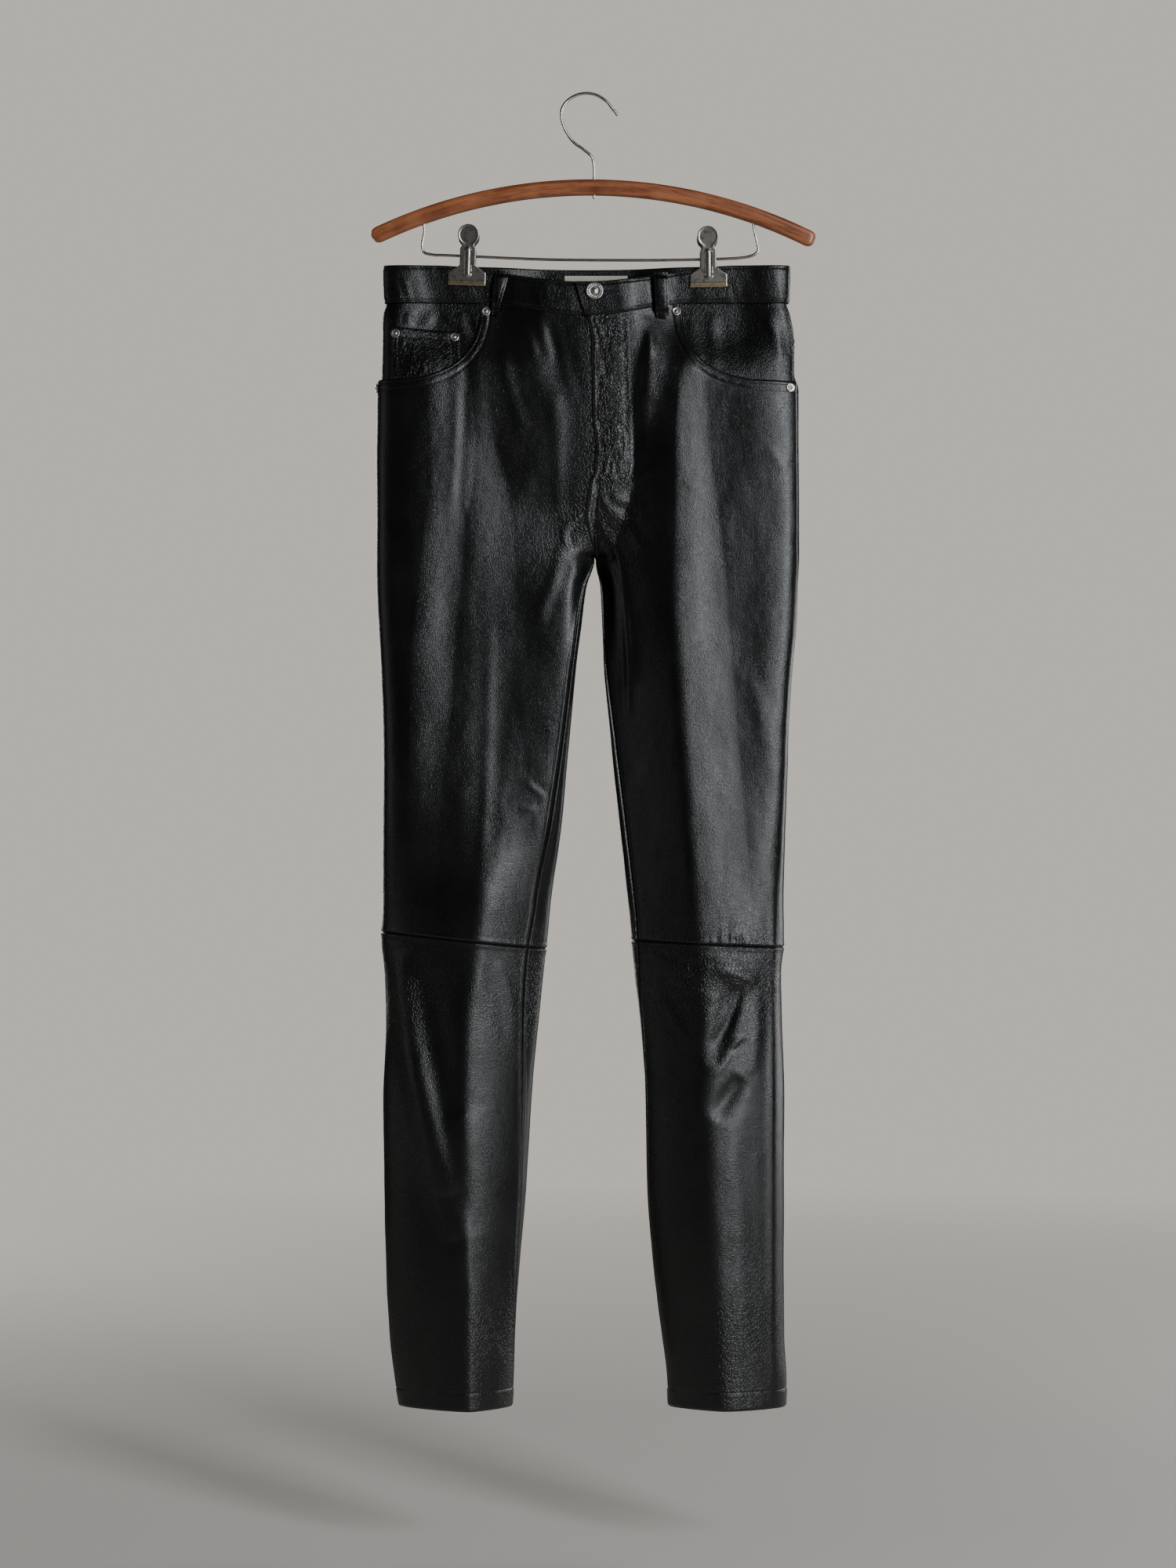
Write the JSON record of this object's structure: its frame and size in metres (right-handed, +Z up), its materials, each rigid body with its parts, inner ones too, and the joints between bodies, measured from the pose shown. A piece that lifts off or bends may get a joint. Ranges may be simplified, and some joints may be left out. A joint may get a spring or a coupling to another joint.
{
  "type": "leather trousers on a clip hanger",
  "caption": "Straight leather trousers with scooped front pockets, knee seams and belt loops, held at the waistband by the two clips of a wooden hanger.",
  "frame": {"origin": "inner top of the hanger's hook, where the rail carries it", "axes": "+Z up, the front of the trousers faces -Y, +X is the viewer's right and so the wearer's left"},
  "size_m": [0.4387, 0.0876, 1.2898],
  "materials": {
    "leather": "soft gloss, fine worn grain",
    "wood": "varnished",
    "wire": "bright",
    "clip_metal": "satin",
    "trim_metal": "satin",
    "label": "woven"
  },
  "bodies": {
    "root": {"front_thigh_right": "leather", "back_thigh_right": "leather", "front_shin_right": "leather", "back_shin_right": "leather", "yoke_right": "leather", "pocket_facing_right": "leather", "front_thigh_left": "leather", "back_thigh_left": "leather", "front_shin_left": "leather", "back_shin_left": "leather", "yoke_left": "leather", "pocket_facing_left": "leather", "coin_pocket": "leather", "waistband": "leather", "belt_loop_right": "leather", "belt_loop_left": "leather", "belt_loop_back": "leather", "label": "label", "hanger_bar": "wood", "hanger_hook": "wire", "hanger_wire": "wire", "clip_right_front": "clip_metal", "clip_right_back": "clip_metal", "clip_right_spring": "clip_metal", "clip_left_front": "clip_metal", "clip_left_back": "clip_metal", "clip_left_spring": "clip_metal", "button": "trim_metal", "rivet_coin_outer": "trim_metal", "rivet_coin_inner": "trim_metal", "rivet_mouth_right": "trim_metal", "rivet_mouth_left": "trim_metal", "rivet_side_left": "trim_metal", "rivet_side_right": "trim_metal"}
  },
  "joints": []
}
